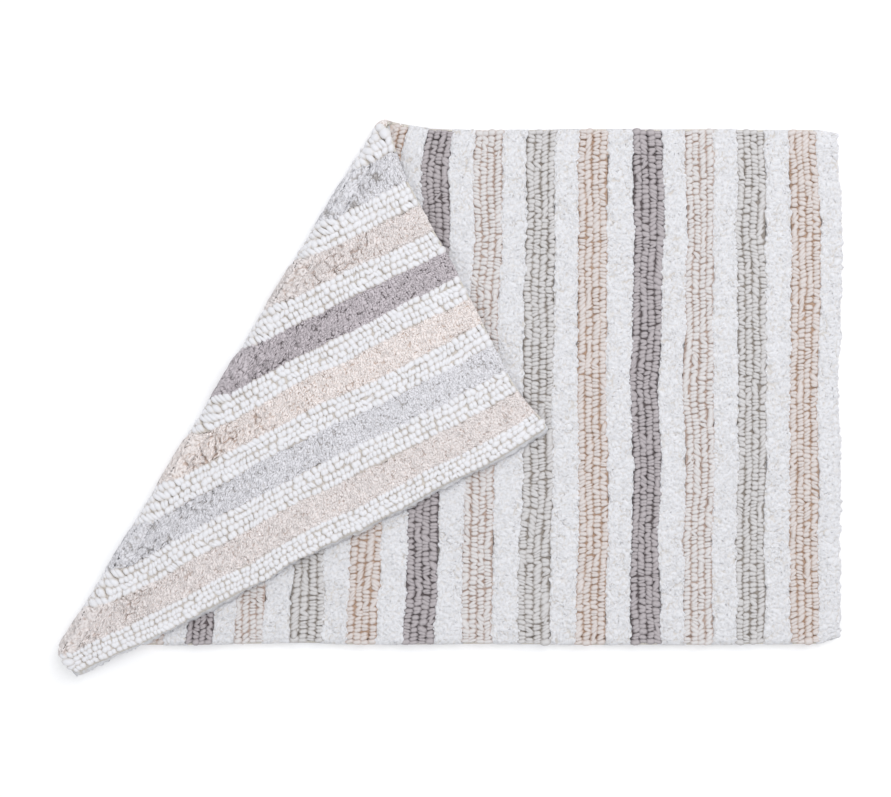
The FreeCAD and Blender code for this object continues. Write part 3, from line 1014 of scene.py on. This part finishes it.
def shade(name, about, value):
    """A colour property whose default is an sRGB hex value."""
    return FloatVectorProperty(name=name, description=about, subtype="COLOR", size=3,
                               default=linear(value), min=0, max=1)


class BathMatColours(bpy.types.PropertyGroup):
    """Colours of the yarns and cloth, with a painted shade colour between and below the tufts."""
    # The second colour of each yarn is painted shade, for between and below its loops and tufts.
    __annotations__ = {yarn + place: shade(f"{yarn.title()} {about}", f"{feel} yarn", value)
                       for yarn, (feel, *values) in YARNS.items()
                       for place, about, value in zip(("", "_root", "_pile"),
                                                      ("loops", "shaded", "pile"), values)}
    cloth: shade("Base cloth", "Undyed woven cotton", "E9E3DA")
    thread: shade("Thread", "Sewing thread", "EEEAE2")


class BATHMAT_OT_cloth(bpy.types.Operator):
    """Make the base cloth, its turned hem and the lock stitch"""
    bl_idname = "bath_mat.cloth"
    bl_label = "Base Cloth and Hem"

    def execute(self, context):
        main, flap = cloth_pieces()
        return {"FINISHED"}


class BATHMAT_OT_bands(bpy.types.Operator):
    """Make every band of yarn, coloured and white, on the main part and the flap"""
    bl_idname = "bath_mat.bands"
    bl_label = "Stripes and White Bands"

    def execute(self, context):
        yarn_pieces(make_bands())
        return {"FINISHED"}


class BATHMAT_OT_fold(bpy.types.Operator):
    """Make the yarn and cloth that bend round the fold"""
    bl_idname = "bath_mat.fold"
    bl_label = "Fold"

    def execute(self, context):
        fold_pieces(make_bands())
        return {"FINISHED"}


class BATHMAT_OT_stage(bpy.types.Operator):
    """Make the floor, the soft studio light and the camera straight above the mat"""
    bl_idname = "bath_mat.stage"
    bl_label = "Stage"

    def execute(self, context):
        scene = context.scene
        mesh = bpy.data.meshes.new("floor")
        corners = ((-1, -1), (1, -1), (1, 1), (-1, 1))
        mesh.from_pydata([(x * FLOOR_REACH, y * FLOOR_REACH, 0) for x, y in corners],
                         [], [(0, 1, 2, 3)])
        placed("floor", mesh)
        paint, tree = new_material("white studio floor")
        shader = add_node(tree, "BsdfPrincipled",
                          values={"Base Color": (0.93, 0.93, 0.94, 1), "Roughness": 0.9,
                                  "Specular IOR Level": 0.1, "Emission Strength": 0.10,
                                  "Emission Color": (1, 1, 1, 1)})
        add_node(tree, "OutputMaterial", links={"Surface": shader.outputs["BSDF"]})
        mesh.materials.append(paint)
        world = bpy.data.worlds.new("studio")
        world.use_nodes = True
        sky = world.node_tree.nodes["Background"].inputs
        sky["Color"].default_value = (0.97, 0.985, 1, 1)
        sky["Strength"].default_value = 0.66
        scene.world = world
        lamps = (("key", (0.8, 0.9, 1.9), 1.6, 24), ("fill", (-0.9, -0.6, 2.1), 1.8, 9))
        for name, place, width, watts in lamps:
            light = bpy.data.lights.new(name, "AREA")
            light.shape = "SQUARE"
            light.size = width
            light.energy = watts
            lamp = placed(name, light)
            lamp.location = place
            lamp.rotation_euler = (math.atan2(math.hypot(place[0], place[1]), place[2]), 0,
                                   math.atan2(place[1], place[0]) + math.pi / 2)
        camera = bpy.data.cameras.new("overhead")
        camera.sensor_fit = "HORIZONTAL"
        camera.sensor_width = 36
        camera.lens = camera.sensor_width * (CAMERA_HEIGHT - MIDDLE) / VIEW_WIDTH
        scene.camera = placed("overhead", camera)
        scene.camera.location = (0.0075, -0.0112, CAMERA_HEIGHT)
        scene.view_settings.view_transform = "Standard"
        return {"FINISHED"}


class BATHMAT_PT_panel(bpy.types.Panel):
    """Sizes, colours and makers of the bath mat"""
    bl_idname = "BATHMAT_PT_panel"
    bl_label = "Bath Mat"
    bl_space_type = "VIEW_3D"
    bl_region_type = "UI"
    bl_category = "Bath Mat"

    def draw(self, context):
        for group in (context.scene.bath_mat_sizes, context.scene.bath_mat_colours):
            for name in group.__annotations__:
                self.layout.prop(group, name)
        for maker in OPERATORS:
            self.layout.operator(maker.bl_idname)


OPERATORS = (BATHMAT_OT_stage, BATHMAT_OT_cloth, BATHMAT_OT_bands, BATHMAT_OT_fold)
CLASSES = (BathMatSizes, BathMatColours) + OPERATORS + (BATHMAT_PT_panel,)


def register():
    for item in CLASSES:
        bpy.utils.register_class(item)
    bpy.types.Scene.bath_mat_sizes = PointerProperty(type=BathMatSizes)
    bpy.types.Scene.bath_mat_colours = PointerProperty(type=BathMatColours)


def unregister():
    del bpy.types.Scene.bath_mat_colours
    del bpy.types.Scene.bath_mat_sizes
    for item in reversed(CLASSES):
        bpy.utils.unregister_class(item)


def main():
    register()
    bpy.ops.bath_mat.stage()
    bpy.ops.bath_mat.cloth()
    bpy.ops.bath_mat.bands()
    bpy.ops.bath_mat.fold()
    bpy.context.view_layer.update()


if __name__ == "__main__":
    main()
